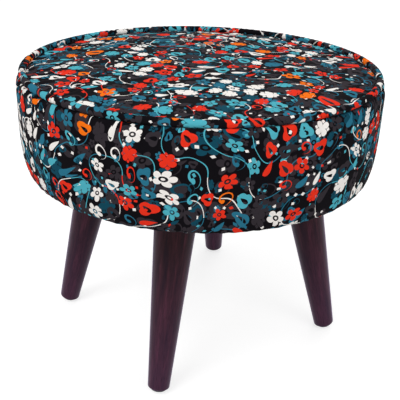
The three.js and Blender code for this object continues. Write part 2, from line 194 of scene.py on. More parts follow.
def into_tuffet(name, mesh):
    """A smooth piece of that mesh, which rides on the tuffet's one body."""
    mesh.shade_smooth()
    piece = into_scene(name, mesh)
    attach(piece, "root")
    return piece


def surface(name, points, uv=None, closed=False, poles=False):
    """A piece over a grid of points in mm, shape (rows, columns, 3), whose columns go round it.

    uv is a grid in mm with one column more, because the cloth doesn't end where it began."""
    rows, columns = points.shape[:2]
    vertices = points.reshape(-1, 3)
    if poles:
        vertices = np.vstack([vertices, points[0].mean(0), points[-1].mean(0)])
    mesh = mesh_in_mm(name, vertices, grid_faces(rows, columns, columns, closed, poles))
    if uv is not None:
        corners = np.concatenate(grid_faces(rows, columns, columns + 1, closed, poles))
        places = np.vstack([uv.reshape(-1, 2), uv[0].mean(0), uv[-1].mean(0)])
        mesh.uv_layers.new(name="cloth_mm").data.foreach_set("uv", places[corners].ravel())
    return into_tuffet(name, mesh)


def give(piece, material, slot, *nodes):
    """Finishes a piece: its material and the CAD nodes it stands for, which it hides. slot is not
    used.
    """
    piece.data.materials.clear()
    piece.data.materials.append(material)
    if nodes:
        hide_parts(*nodes)
    print(piece.name, len(piece.data.vertices), "vertices,", len(piece.data.polygons), "faces")

# %% [markdown]
# The frame gives the drum's sizes and where the piping runs. All in millimetres from here on.
# %% Sizes of the drum, read from the frame
def box_mm(node):
    """Lowest and highest corner of a CAD node."""
    return [np.array(corner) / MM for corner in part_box(node)]


side_low, side_high = box_mm("side_cover")
cord_low, cord_high = box_mm("piping_cord")
piping_box_low, piping_box_high = box_mm("piping_cover")
dust_low, dust_high = box_mm("dust_cover")
crown_edge_radius, _, crown_top = box_mm("top_cover")[1]
drum_radius = side_high[0]
underside = side_low[2]
seam_height = side_high[2]
cord_radius = (cord_high[2] - cord_low[2]) / 2
seam_radius = cord_high[0] - cord_radius
piping_height = (cord_high[2] + cord_low[2]) / 2
piping_radius = piping_box_high[2] - piping_height
piping_low = piping_box_low[2]
cloth_thickness = 1.2
piping_cloth_thickness = 0.8
seat_gap = 0.3
print(f"drum {2 * drum_radius:.1f} mm across, seam at radius {seam_radius:.1f} mm")

# %% [markdown]
# Next to a seam the cloth gathers in small uneven folds that die out within a few centimetres.
# They are a sum of cosines with whole counts, so that they close on themselves round the drum.
# %% Folds round a seam
def gathers(angle, fewest, most, seed, waves=11):
    """Uneven folds, about -1 to 1: a weighted mean of cos(count * angle + phase), seeded."""
    rng = np.random.default_rng(seed)
    count = rng.integers(fewest, most, waves)[:, None]
    phase = rng.uniform(0, 2 * np.pi, waves)[:, None]
    weight = rng.uniform(0.4, 1, waves)[:, None]
    total = (weight * np.cos(count * angle + phase)).sum(0)
    return total / np.sqrt((weight ** 2).sum())


def bump_profile(distance, width):
    """exp(-(distance / width) ** 2), which is gone at about twice the width."""
    return np.exp(-((distance / width) ** 2))

# %% [markdown]
# A section is two rows of numbers, radius and height. These functions measure it, move it
# sideways, round its corners and turn it round the drum.
# %% Sections
columns_round_drum = 600
closing_seam_deg = 100


def turn(steps):
    """Equal angles round one turn: 2 pi n / steps."""
    return 2 * np.pi * np.arange(steps) / steps


def lengths_along(r, z):
    """Length along a section from its first point: the running sum of its steps."""
    return np.concatenate([[0], np.cumsum(np.hypot(np.diff(r), np.diff(z)))])


def offset(r, z, distance):
    """The section moved to its right-hand side by distance, square to its own direction."""
    dr, dz = np.gradient(r), np.gradient(z)
    step = np.hypot(dr, dz)
    return r + distance * dz / step, z - distance * dr / step


def turned(r, z, start_deg=0, columns=columns_round_drum):
    """Points (r cos a, r sin a, z) for sections r and z, each with one column or with them all."""
    a = math.radians(start_deg) + turn(columns)
    r = r * np.ones(columns)
    return np.stack([r * np.cos(a), r * np.sin(a), np.broadcast_to(z, r.shape)], -1)


def superellipse(centre_r, centre_z, half_r, half_z, power, from_deg, to_deg, steps):
    """Points centre + half * |cos| ** (2 / power), and the same with sin, over some angles."""
    t = np.radians(np.linspace(from_deg, to_deg, steps + 1))
    c, s = np.cos(t), np.sin(t)
    r = centre_r + half_r * np.sign(c) * np.abs(c) ** (2 / power)
    return r, centre_z + half_z * np.sign(s) * np.abs(s) ** (2 / power)


angles = turn(columns_round_drum)
closed_angles = np.append(angles, 2 * np.pi)
print(columns_round_drum, "columns of points go round the drum")

# %% [markdown]
# A cloth simulation makes the folds uneven: the panel is held along its seams, is cut a little
# too large, and the foam presses on it from inside. Gravity is off, since the foam carries it.
# %% Cloth simulation: the cloth and the foam that presses on it
cloth_frames = 20
spare_share = 0.012
CLOTH_SETTINGS = {
    "vertex_group_mass": "seam", "quality": 5, "mass": 0.15, "air_damping": 2,
    "tension_stiffness": 18, "compression_stiffness": 18, "shear_stiffness": 8,
    "bending_stiffness": 0.3, "shrink_min": -spare_share, "shrink_max": -spare_share,
    "use_pressure": True, "uniform_pressure_force": 3.0,
}


def settled(panel):
    """The panel's points in mm after the simulation, with its vertex group "seam" held."""
    cloth = panel.modifiers.new("cloth", "CLOTH")
    cloth.point_cache.frame_start, cloth.point_cache.frame_end = 1, cloth_frames
    cloth.collision_settings.use_collision = False
    for name, value in CLOTH_SETTINGS.items():
        setattr(cloth.settings, name, value)
    cloth.settings.effector_weights.gravity = 0
    scene = bpy.context.scene
    for frame_number in range(1, cloth_frames + 1):
        scene.frame_set(frame_number)
    result = panel.evaluated_get(bpy.context.evaluated_depsgraph_get()).to_mesh()
    points = np.empty(3 * len(result.vertices))
    result.vertices.foreach_get("co", points)
    bpy.data.objects.remove(panel)
    scene.frame_set(1)
    return points.reshape(-1, 3) / MM

# %% [markdown]
# The simulation must not change the section in the photograph, so each row's mean movement is
# taken off again. The grid is thinned for it, and the movement is spread back over all points.
# %% Cloth simulation: what is kept of the movement
thin_rows, thin_columns = 2, 3


def uneven_part(step, grid):
    """The movement less its mean round the drum, outwards, round it and upwards."""
    a = np.arctan2(grid[..., 1], grid[..., 0])
    outwards = np.stack([np.cos(a), np.sin(a), 0 * a], -1)
    around = np.stack([-np.sin(a), np.cos(a), 0 * a], -1)
    uneven = 0
    for direction in (outwards, around, np.array([0, 0, 1.0])):
        part = (step * direction).sum(-1)
        uneven = uneven + (part - part.mean(1, keepdims=True))[..., None] * direction
    return uneven


def thickened(values, rows, columns):
    """A thinned grid spread back over all rows and columns, linearly."""
    position = np.linspace(0, len(values) - 1, rows)
    low = np.minimum(position.astype(int), len(values) - 2)
    share = (position - low)[:, None, None]
    values = values[low] * (1 - share) + values[low + 1] * share
    position = np.arange(columns) * values.shape[1] / columns
    left = position.astype(int)
    share = (position - left)[None, :, None]
    return values[:, left] * (1 - share) + values[:, (left + 1) % values.shape[1]] * share


def simulated(name, points, held, most_mm):
    """How far the cloth moves each point of a grid, without the mean of its row, at most most_mm.

    held says which rows are sewn or stapled."""
    kept_rows = np.round(np.linspace(0, len(points) - 1, len(points) // thin_rows)).astype(int)
    grid = points[kept_rows, ::thin_columns]
    rows, columns = grid.shape[:2]
    faces = grid_faces(rows, columns, columns)
    panel = into_scene(name, mesh_in_mm(name, grid.reshape(-1, 3), faces))
    seam = panel.vertex_groups.new(name="seam")
    seam.add(np.flatnonzero(np.repeat(held[kept_rows], columns)).tolist(), 1.0, "REPLACE")
    step = uneven_part(settled(panel).reshape(grid.shape) - grid, grid)
    size = np.linalg.norm(step, axis=-1, keepdims=True)
    step *= np.minimum(1, most_mm / np.maximum(size, 1e-6))
    print(f"{name}: moved by up to {size.max():.2f} mm, of which at most {most_mm} mm is kept")
    return thickened(step, *points.shape[:2])

# %% [markdown]
# The side is one band of cloth over thin foam. It leaves the piping almost level, turns over a
# tight shoulder, bulges a little and is drawn in round the edge of the board. Its section is two
# superellipses, fitted to the photograph's outline, and the flat hem stapled under the board.
# %% Side cover: its section
belly_height = 319
piping_clearance = 1.25
shoulder_power, shoulder_steps = 3.5, 30
lower_edge_radius = 212
lower_power, lower_steps = 2.7, 60
edge_row = shoulder_steps + lower_steps
hem_start = lower_edge_radius - 2
hem_inner_radius = dust_high[0] - 12
hem_height = underside + 2
hem_rise_length = 8
hem_rows = 16


def side_section():
    """Radius and height down the outside, then in along the hem."""
    start = seam_radius + piping_clearance
    shoulder = superellipse(
        start, belly_height, drum_radius - start, seam_height - belly_height,
        shoulder_power, 90, 0, shoulder_steps)
    lower = superellipse(
        lower_edge_radius, belly_height, drum_radius - lower_edge_radius,
        belly_height - underside, lower_power, 0, -90, lower_steps)
    hem_r = np.linspace(hem_start, hem_inner_radius, hem_rows)
    rise = np.clip((lower_edge_radius - hem_r) / hem_rise_length, 0, 1)
    hem_z = underside + (hem_height - underside) * rise
    r = np.concatenate([shoulder[0], lower[0][1:], hem_r])
    return r, np.concatenate([shoulder[1], lower[1][1:], hem_z])

# %% [markdown]
# The cloth gathers at the piping and at the lower edge, with a slow sway between them. Under the
# drum it has to fit a smaller circle, so it lies in pleats. The band closes in one upright seam
# at the back: a groove that each stitch pulls deeper, with a low swell on both sides.
# %% Side cover: its folds
top_fold_mm, top_fold_reach = 0.42, 15
low_fold_mm, low_fold_reach = 0.3, 18
sway_mm = 0.55
pleat_mm, pleat_reach, pleat_base = 1.1, 18, 0.35
groove_mm, groove_width, groove_end = 1.1, 1.7, 14
swell_mm, swell_width, swell_place = 0.45, 4, 6
stitch_length, stitch_share = 3.2, 0.25
most_lift_mm = 0.9
sewn_flat = 3


def side_lift(d, edge):
    """How far the cloth stands out from its section, in mm, at length d along it.

    Folds fade with exp(-distance / reach), the sway is a half sine between the seams, and the
    stitches pull the groove by 1 + share * cos(2 pi d / stitch length)."""
    top_folds = top_fold_mm * gathers(angles, 55, 120, seed=11) * np.exp(-d / top_fold_reach)
    fade = np.exp(-np.maximum(edge - d, 0) / low_fold_reach)
    low_folds = low_fold_mm * gathers(angles, 50, 110, seed=12) * fade
    sway = sway_mm * gathers(angles, 3, 9, seed=13) * np.sin(np.pi * np.clip(d / edge, 0, 1))
    pleats = np.abs(gathers(angles, 44, 60, seed=14)) - pleat_base
    pleats = pleat_mm * np.clip((d - edge) / pleat_reach, 0, 1) * pleats
    across = np.minimum(angles, 2 * np.pi - angles) * drum_radius
    stitch_pull = 1 + stitch_share * np.cos(2 * np.pi * d / stitch_length)
    groove = groove_mm * stitch_pull * bump_profile(across, groove_width)
    groove = groove - swell_mm * bump_profile(across - swell_place, swell_width)
    groove = groove * np.clip((edge + groove_end - d) / groove_end, 0, 1)
    lift = np.minimum(top_folds + low_folds + sway - groove, most_lift_mm) + pleats
    return lift * np.clip(d / sewn_flat, 0, 1)

# %% [markdown]
# These folds are where the simulation starts. What it adds fades out at the piping, where the
# cloth is sewn, and partly toward the lower edge, which the foam keeps even.
# %% Side cover
held_at_piping = 2.5
fade_at_piping, fade_at_edge, kept_at_edge = 6, 45, 0.35
inner_thinning = 4


def side_cover():
    """The outer face with its folds, and back along a plain inner face."""
    r, z = side_section()
    v = lengths_along(r, z)
    edge = v[edge_row]
    d = v[:, None]
    lift = side_lift(d, edge)
    out_r, out_z = np.stack(offset(r, z, -1)) - np.stack([r, z])
    outer_r = r[:, None] + out_r[:, None] * lift
    outer_z = z[:, None] + out_z[:, None] * lift
    outer = turned(outer_r, outer_z, closing_seam_deg)
    held = (v < held_at_piping) | (v > edge)
    step = simulated("side_panel", outer, held, most_mm=1.2)
    kept = np.clip(d / fade_at_piping, 0, 1) * np.clip((edge - d) / fade_at_edge, kept_at_edge, 1)
    outer += step * kept[..., None]
    inner_r, inner_z = offset(r[::inner_thinning], z[::inner_thinning], cloth_thickness)
    inner = turned(inner_r[::-1, None], inner_z[::-1, None], closing_seam_deg)
    points = np.concatenate([outer, inner])
    v = np.concatenate([v, v[::-inner_thinning]])
    uv = np.stack(np.broadcast_arrays(closed_angles * drum_radius, -v[:, None]), -1)
    return surface("side_cover_cloth", points, uv, closed=True)


side_piece = side_cover()

# %% [markdown]
# The top is one round panel. It rises steeply from the seam behind the piping and levels out over
# the thick foam. Its print is laid flat, so its coordinates are plain x and y, turned to the way
# the print lies in the photograph.
# %% Top cover
crown_base = seam_height - seat_gap
crown_power = 2.3
crown_start = 0.012
crown_rows, under_thinning = 90, 5
crown_fold_mm, crown_fold_reach = 0.5, 13
settling_mm, settled_by = 0.5, 0.4
crown_free_from, crown_held = 5, 2
top_print_turn_deg = 12


def crown(radius, base, rise, steps):
    """Radius and height of the crown: base + rise * (1 - (r / radius) ** power) ** (1 / power)."""
    share = np.sin(np.linspace(crown_start, np.pi / 2, steps))
    r = radius * share
    return r, base + rise * (1 - share ** crown_power) ** (1 / crown_power)


def top_cover():
    """The crown, with folds that fade inwards from the seam and slow waves where it has settled:
    cos(x / 37 + 1.1) * cos(y / 45 - 0.4) + 0.5 * cos(x / 19 - y / 23), with x and y in mm."""
    r, z = crown(crown_edge_radius, crown_base, crown_top - crown_base, crown_rows)
    inwards = (crown_edge_radius - r)[:, None]
    fade = np.exp(-inwards / crown_fold_reach)
    folds = crown_fold_mm * gathers(angles, 50, 115, seed=21) * fade
    x, y = r[:, None] * np.cos(angles), r[:, None] * np.sin(angles)
    waves = np.cos(x / 37 + 1.1) * np.cos(y / 45 - 0.4) + 0.5 * np.cos(x / 19 - y / 23)
    lift = folds + settling_mm * waves - settled_by
    lift = lift * np.clip(inwards / crown_free_from, 0, 1)
    points = turned(r[:, None], z[:, None] + lift)
    held = inwards[:, 0] < crown_held
    points += simulated("top_panel", points, held, most_mm=1.6)
    under = turned(r[::-under_thinning, None], z[::-under_thinning, None] - cloth_thickness)
    points = np.concatenate([points, under])
    flat = turned_about_z(np.concatenate([points, points[:, :1]], 1), top_print_turn_deg)
    return surface("top_cover_cloth", points, flat[..., :2], poles=True)


top_piece = top_cover()

# %% [markdown]
# Piping is a strip of the same cloth, cut at 45 degrees to its threads so that it bends without
# creases, and folded over a cotton cord. Its section is a keyhole with two flanges that go down
# into the seam. It is dragged a little as it is sewn, so faint folds run round it in a spiral.
# %% Piping
piping_steps = 26
bias_deg = 45
spiral_turns = 150
drag_mm, gather_mm = 0.2, 0.12


def piping_section():
    """The keyhole, clockwise: over the cord, down one flange, back round the bore, up the other."""
    half = piping_cloth_thickness + seat_gap / 2
    slot = seat_gap / 2
    bore = piping_radius - piping_cloth_thickness
    opening = math.degrees(math.asin(half / piping_radius))
    bore_opening = math.degrees(math.asin(slot / bore))
    outer = np.radians(np.linspace(270 - opening, -90 + opening, piping_steps))
    inner = np.radians(np.linspace(-90 + bore_opening, 270 - bore_opening, piping_steps // 2))
    low = piping_low - piping_height
    middle = (low - piping_radius) / 2
    r = np.concatenate([
        piping_radius * np.cos(outer), [half, half, slot],
        bore * np.cos(inner), [-slot, -half, -half]])
    z = np.concatenate([
        piping_radius * np.sin(outer), [middle, low, low],
        bore * np.sin(inner), [low, low, middle]])
    return r, z


def piping_cover():
    """The section swells with a spiral of folds, cos(turns * angle + t / radius), and gathers."""
    r, z = piping_section()
    t = lengths_along(r, z)
    spiral = spiral_turns * angles + t[:, None] / piping_radius
    strength = 0.6 + 0.4 * gathers(angles, 2, 7, seed=32)
    drag = drag_mm * np.cos(spiral) * strength + gather_mm * gathers(angles, 90, 200, seed=31)
    shown = np.arange(len(r))[:, None] < piping_steps
    swell = 1 + np.where(shown, drag, 0) / piping_radius
    radius, height = seam_radius + r[:, None] * swell, piping_height + z[:, None] * swell
    along, around = np.broadcast_arrays(closed_angles * seam_radius, t[:, None])
    c = math.cos(math.radians(bias_deg))
    uv = np.stack([(along + around) * c, (around - along) * c], -1)
    return surface("piping_cloth", turned(radius, height, closing_seam_deg), uv, closed=True)


piping_piece = piping_cover()

# %% [markdown]
# The filler cord is laid from three cotton strands, which turn round each other along it.
# %% Filler cord
strand_turns = 60
strand_share = 0.06
cord_sides = 18


def filler_cord():
    """A round section whose radius has three swells: 1 - share + share * cos(3 a + turns)."""
    around = -turn(cord_sides)[:, None]
    swells = np.cos(3 * around + strand_turns * angles)
    radius = cord_radius * (1 - strand_share + strand_share * swells)
    points = turned(seam_radius + radius * np.cos(around), piping_height + radius * np.sin(around))
    return surface("piping_filler_cord", points, closed=True)


cord_piece = filler_cord()

# %% [markdown]
# Under the cloth are two pieces of foam: a round pad under the crown, and a thin band round the
# side. They show only when the stool is taken apart.
# %% Foam
foam_columns = 200
foam_clearance = 0.8
foam_skin = cloth_thickness + seat_gap
pad_rows, pad_edge_round, pad_pole_ring = 24, 3, 3


def seat_foam():
    """The crown of the top cover, under the cloth, over a flat base with a rounded edge."""
    low, high = box_mm("seat_foam")
    base = crown_base - foam_skin
    r, z = crown(high[0], base, high[2] - base - foam_clearance, pad_rows)
    edge = superellipse(
        high[0] - pad_edge_round, low[2] + pad_edge_round, pad_edge_round, pad_edge_round,
        2, 0, -90, 5)
    r = np.concatenate([r, edge[0], [high[0] / 2, pad_pole_ring]])
    z = np.concatenate([z, edge[1], [low[2], low[2]]])
    points = turned(r[:, None], z[:, None], columns=foam_columns)
    return surface("seat_foam_pad", points, poles=True)


def side_foam():
    """The side's section, under the cloth, and back up along the hoop and the seat board."""
    low, high = box_mm("side_foam")
    skin = foam_skin + foam_clearance
    outer_r, outer_z = (x[:edge_row - 1:3] for x in offset(*side_section(), skin))
    keep = (outer_z < high[2]) & (outer_z > low[2] + skin)
    inner_radius = box_mm("hoop")[1][0] + seat_gap
    top_radius = crown_edge_radius + seat_gap
    ledge = box_mm("seat_board")[1][2]
    r = np.concatenate([[top_radius], outer_r[keep], [inner_radius, inner_radius, top_radius]])
    z = np.concatenate([[high[2]], outer_z[keep], [low[2] + skin, ledge, ledge]])
    points = turned(r[:, None], z[:, None], columns=foam_columns)
    return surface("side_foam_band", points, closed=True)


seat_foam_piece = seat_foam()
side_foam_piece = side_foam()

# %% [markdown]
# Each leg is turned on a lathe and tapered, and it splays, so its axis is read from the CAD leg:
# the line that its points are longest on.
# %% Axis of a turned piece
leg_columns = 96
leg_top_chamfer = 1
leg_foot_round = 2.5
reading_slack = 0.1


def corners_mm(node):
    """The different corners of a CAD node's mesh."""
    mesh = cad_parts[node].data
    flat = np.empty(len(mesh.vertices) * 3)
    mesh.vertices.foreach_get("co", flat)
    return np.unique(np.round(flat.reshape(-1, 3) / MM, 3), axis=0)


def axis_of(node):
    """Middle of the top end, direction from there to the foot, length, and the two end radii.

    The direction is the first singular vector of the corners about their mean."""
    points = corners_mm(node)
    middle = points.mean(0)
    down = np.linalg.svd(points - middle, full_matrices=False)[2][0]
    down *= -np.sign(down[2])
    along = (points - middle) @ down
    top = middle + along.min() * down
    length = along.max() - along.min()
    radius = np.linalg.norm(points - middle - along[:, None] * down, axis=1)
    near_top = along < along.min() + leg_top_chamfer + reading_slack
    near_foot = along > along.max() - leg_foot_round - reading_slack
    return top, down, length, radius[near_top].max(), radius[near_foot].max()


def about_axis(top, down, r, along, columns):
    """Points top + along * down + r (cos a * side + sin a * other), and the same points in the
    piece's own directions. side points away from the stool, and other is square to it."""
    side = np.array([*top[:2], 0.0])
    side -= (side @ down) * down
    side /= np.linalg.norm(side)
    other = np.cross(side, down)
    a = turn(columns)
    spoke = np.cos(a)[:, None] * side + np.sin(a)[:, None] * other
    points = top + along[:, None, None] * down + r[:, None, None] * spoke
    return points, turned(r[:, None], along[:, None], columns=columns)

# %% [markdown]
# The leg is one section turned about that line. Its grain runs along it, so every point keeps its
# place in the leg's own directions, moved on from leg to leg, as if each had its own plank.
# %% Legs
PLACES = ("front", "right", "rear", "left")
taper_rows = 60
leg_top_ring, leg_foot_ring = 2, 4
plank_shift = np.array([31.0, 17.0, 260.0])


def leg(place, number):
    """Top, chamfer, straight taper, rounded foot and sole, turned about the leg's axis."""
    top, down, length, top_radius, foot_radius = axis_of(place + "_leg")
    step, foot = leg_top_chamfer, leg_foot_round
    chamfer_r, chamfer_l = superellipse(top_radius - step, -step, step, step, 2, 90, 0, 5)
    round_r, round_l = superellipse(foot_radius - foot, -length + foot, foot, foot, 2, 0, -90, 9)
    taper = np.linspace(0, 1, taper_rows)[1:-1]
    taper_l = -step + (round_l[0] + step) * taper
    taper_r = top_radius + (foot_radius - top_radius) * taper
    r = np.concatenate([[leg_top_ring], chamfer_r, taper_r, round_r, [leg_foot_ring]])
    along = -np.concatenate([[0], chamfer_l, taper_l, round_l, [-length]])
    points, own = about_axis(top, down, r, along, leg_columns)
    piece = surface(place + "_leg_turned", points, poles=True)
    own = np.concatenate([own.reshape(-1, 3), [[0, 0, 0], [0, 0, length]]]) + plank_shift * number
    wood = piece.data.attributes.new("wood_mm", "FLOAT_VECTOR", "POINT")
    wood.data.foreach_set("vector", own.ravel())
    return piece


leg_pieces = {place: leg(place, n + 1) for n, place in enumerate(PLACES)}
print(len(leg_pieces), "legs")

# %% [markdown]
# A nylon glide under each foot keeps it off the floor: a disc with a rounded rim. Its pin is
# inside the leg and never shows.
# %% Glides
glide_columns = 48
glide_round, glide_bevel, glide_dish = 1.2, 0.4, 3
glide_pole_ring = 2


def glide(place):
    """From the leg's sole out to the rim, over its rounded edge, and in across the face."""
    points = corners_mm(place + "_glide")
    top, down, leg_length, _, _ = axis_of(place + "_leg")
    along = (points - top) @ down
    radius = np.linalg.norm(points - top - along[:, None] * down, axis=1).max()
    face, back = along.max(), leg_length + seat_gap
    rim_r, rim_l = superellipse(
        radius - glide_round, face - glide_round, glide_round, glide_round, 2, 0, 90, 6)
    r = np.concatenate([
        [glide_pole_ring, radius - glide_bevel, radius], rim_r,
        [radius - glide_dish, glide_pole_ring]])
    lengths = np.concatenate([[back, back, back + glide_bevel], rim_l, [face, face]])
    ring, _ = about_axis(top, down, r, lengths, glide_columns)
    return surface(place + "_glide_disc", ring, poles=True)


glide_pieces = {place: glide(place) for place in PLACES}
print(len(glide_pieces), "glides")

# %% [markdown]
# A plate of pressed steel carries each leg, held by four pan-head screws with a cross recess: the
# points in one of its two slots move into the head. The thread climbs one pitch for each turn.
# %% Screws of the leg plates
screw_columns = 40
head_shares = np.array([0.06, 0.14, 0.22, 0.3, 0.38, 0.46, 0.54, 0.66, 0.8, 0.92, 0.985, 1, 1])
head_height = 2.4
dome_height, dome_share = 1.5, 0.86
slot_share, slot_slack, slot_reach_share, slot_depth = 0.13, 0.1, 0.52, 1.1
shank_rows, thread_pitch, thread_share = 70, 1.8, 0.2
point_length, point_blunt = 3, 0.3


def screw(name, node):
    """Head: a dome, 1 - sqrt(1 - (share of the radius) ** 2), less the cross. Shank: a core that
    runs to a point, with a ridge where cos(2 pi z / pitch - angle) is above zero."""
    low, high = box_mm(node)
    centre = (low + high) / 2
    head_radius = (high[0] - low[0]) / 2
    shank_radius = head_radius / 2
    face, tip = low[2], high[2]
    seat = face + head_height
    share = head_shares[:, None]
    head_z = face + dome_height * (1 - np.sqrt(1 - (share * dome_share) ** 2))
    head_z[-1] = seat
    head = turned(head_radius * share, head_z, columns=screw_columns)
    slot = slot_share * head_radius + slot_slack
    in_slot = (np.abs(head[..., :2]).min(-1) < slot) & (share < slot_reach_share)
    head[..., 2] += np.where(in_slot, slot_depth * (1 - share), 0)
    shank_z = np.linspace(seat, tip, shank_rows)[:, None]
    core = shank_radius * np.minimum(1, (tip - shank_z + point_blunt) / point_length)
    climb = 2 * np.pi * shank_z / thread_pitch - turn(screw_columns)
    ridge = np.clip(np.cos(climb), 0, 1) ** 2
    shank_r = core * (1 - thread_share + thread_share * ridge)
    shank = turned(shank_r, shank_z, columns=screw_columns)
    points = np.concatenate([head, shank])[::-1]
    points[..., :2] += centre[:2]
    return surface(name, points, poles=True)


screw_nodes = [f"{place}_plate_screw_{n}" for place in PLACES for n in range(1, 5)]
screw_pieces = {node: screw(node + "_cross", node) for node in screw_nodes}
print(len(screw_pieces), "screws in the leg plates")

# %% [markdown]
# Black non-woven cloth closes the underside, stapled over the raw edge of the cover. It hangs a
# little between the plates and draws up at each staple.
# %% Dust cover
dust_radius = dust_high[0]
dust_thickness = 0.8
dust_rows, dust_columns, over_thinning = 60, 360, 4
hem_step_start, hem_step_length = hem_inner_radius - 4.3, 4
plate_reach, free_length = 46, 40
sag_mm, crease_mm, pull_mm = 2.2, 0.35, 0.3
crease_from = 120
staple_count = 44


def dust_cover():
    """A disc that sags by a smooth hump, except near a plate, and steps down over the hem."""
    r = dust_radius * np.sin(np.linspace(0.02, np.pi / 2, dust_rows))
    a = turn(dust_columns)
    x, y = r[:, None] * np.cos(a), r[:, None] * np.sin(a)
    step = np.clip((r - hem_step_start) / hem_step_length, 0, 1)[:, None]
    centres = [np.mean(box_mm(place + "_leg_plate"), 0)[:2] for place in PLACES]
    near = np.min([np.hypot(x - cx, y - cy) for cx, cy in centres], 0)
    free = np.clip((near - plate_reach) / free_length, 0, 1) ** 2
    sag = sag_mm * free * (1 - (r[:, None] / dust_radius) ** 2)
    from_middle = np.clip(r[:, None] / crease_from, 0, 1)
    crease = crease_mm * free * gathers(a, 9, 30, seed=41) * from_middle
    pull = pull_mm * step * np.cos(staple_count * a)
    flat, rim = dust_high[2] - dust_thickness, dust_low[2]
    z = flat + (rim - flat) * step - sag + crease - np.abs(pull)
    under = np.stack([x, y, z], -1)
    over = under[::-over_thinning] + [0, 0, dust_thickness]
    points = np.concatenate([under[:, ::-1], over[:, ::-1]])
    uv = np.concatenate([points, points[:, :1]], 1)[..., :2]
    return surface("dust_cover_cloth", points, uv, poles=True)


dust_piece = dust_cover()

# %% [markdown]
# A staple is a flat wire bent to a U: one section carried along six points. All are one piece,
# each at its own slant, as a hand-held gun leaves them.
# %% Staples
staple_radius = dust_radius - 5
staple_crown = 10
staple_leg, staple_bend, staple_shoulder = 5, 0.7, 0.6
staple_wire, wire_flatness, wire_sides = 0.55, 1.3, 8
most_slant_deg = 9


def staples():
    """The wire's section, cos across and sin along the rim, stands square to its path."""
    half = staple_crown / 2
    low = dust_low[2] - staple_wire
    path = np.array([
        [-half, low + staple_leg], [-half, low + staple_bend], [-half + staple_shoulder, low],
        [half - staple_shoulder, low], [half, low + staple_bend], [half, low + staple_leg]])
    normal = np.array([[-1, 0], [-0.9, -0.4], [-0.4, -0.9], [0.4, -0.9], [0.9, -0.4], [1, 0]])
    around = -turn(wire_sides)
    width = staple_wire * wire_flatness * np.sin(around)
    one = np.stack([
        path[:, 0, None] + staple_wire * np.cos(around) * normal[:, 0, None],
        np.broadcast_to(width, (len(path), wire_sides)),
        path[:, 1, None] + staple_wire * np.cos(around) * normal[:, 1, None]], -1)
    slants = np.random.default_rng(51).uniform(-most_slant_deg, most_slant_deg, staple_count)
    first = np.arange(wire_sides)
    last = first[::-1] + one.size // 3 - wire_sides
    one_faces = [*grid_faces(len(path), wire_sides, wire_sides), first, last]
    wires, faces = [], []
    for number, slant in enumerate(slants):
        wire = turned_about_z(one, 90 + slant) + [staple_radius, 0, 0]
        wires.append(turned_about_z(wire, 360 / staple_count * number).reshape(-1, 3))
        faces += [(np.array(face) + number * len(wires[0])).tolist() for face in one_faces]
    name = "dust_cover_staples"
    return into_tuffet(name, mesh_in_mm(name, np.concatenate(wires), faces))


staple_piece = staples()
print(staple_count, "staples in one piece")

# %% [markdown]
# The cover is plain-woven cotton, printed in flat inks on a near-black ground. The print is a
# generic one of flowers, pods, scrolls, squares and thin curving stems, about as large and as
# bright as the real cloth's.
# %% Print: the inks
INKS = {
    "black": "#110f13",
    "plum": "#342f34",
    "deep_teal": "#14485a",
    "teal": "#2b728b",
    "turquoise": "#50b0c0",
    "red": "#ea3420",
    "orange": "#f87416",
    "white": "#f6f1ec",
}
print(len(INKS), "inks, the ground among them")


def ink_picker(add, cell, number, inks):
    """Ink of a cell: flat steps over 0.4 * its random number + 0.6 * a slow noise, so that
    neighbours often share an ink. inks are (from which number, name) pairs."""
    slow = add("MapRange", add("TexNoise", cell, 0.41, 0.0), 0.3, 0.7, 0.0, 1.0)
    slow = add("Math MULTIPLY", slow, 0.6)
    pick = add("Math MULTIPLY_ADD", number, 0.4, slow)
    stops = [(start, INKS[ink]) for start, ink in inks]
    return add("ValToRGB", pick, ramp="CONSTANT", stops=stops)

# %% [markdown]
# The cloth is divided into square cells. White noise gives each cell its own random numbers, the
# same in every run, and these choose, move and turn the one motif in it.
# %% Print: one cell for each motif
seed_shift = 7.3, 3.1


def cells(add, cloth, size, turn_deg, seed):
    """Place inside a cell as a fraction of its size in mm, the cell, and its random numbers."""
    shift = (seed * seed_shift[0], seed * seed_shift[1], 0.0)
    rotation = (0.0, 0.0, math.radians(turn_deg))
    scaled = add("Mapping", cloth, shift, rotation, (1 / size, 1 / size, 1))
    cell = add("VectorMath FLOOR", scaled)
    inside = add("VectorMath FRACTION", scaled)
    return inside, cell, add("TexWhiteNoise", cell, noise_dimensions="3D", out=None)


def motif_cells(add, cloth, size, turn_deg, seed, stray=0.12):
    """Place about a motif's middle in mm, its cell, and the cell's four random numbers.

    place = (fraction - 0.5 - stray * (random - 0.5)) * size, turned by a random angle."""
    inside, cell, noise = cells(add, cloth, size, turn_deg, seed)
    shift = add("VectorMath SUBTRACT", noise["Color"], (0.5, 0.5, 0.5))
    middle = add("VectorMath MULTIPLY_ADD", shift, (stray, stray, 0), (0.5, 0.5, 0))
    inside = add("VectorMath SUBTRACT", inside, middle)
    local = add("VectorMath MULTIPLY", inside, (size, size, 0))
    angle = add("Math MULTIPLY", noise["Value"], 2 * math.pi)
    local = add("VectorRotate", local, (0, 0, 0), angle, rotation_type="Z_AXIS")
    return local, cell, [*add("SeparateColor", noise["Color"], out=None), noise["Value"]]

# %% [markdown]
# A motif is a formula that is true inside its outline, so its edge is as sharp as a printed one.
# Flowers and rings need only the distance and the angle from the middle of the cell.
# %% Print: petals, rings and squares
def polar(add, local):
    """Distance from the middle, and angle."""
    side = add("SeparateXYZ", local, out=None)
    distance = add("VectorMath LENGTH", local, out="Value")
    return distance, add("Math ARCTAN2", side[1], side[0])


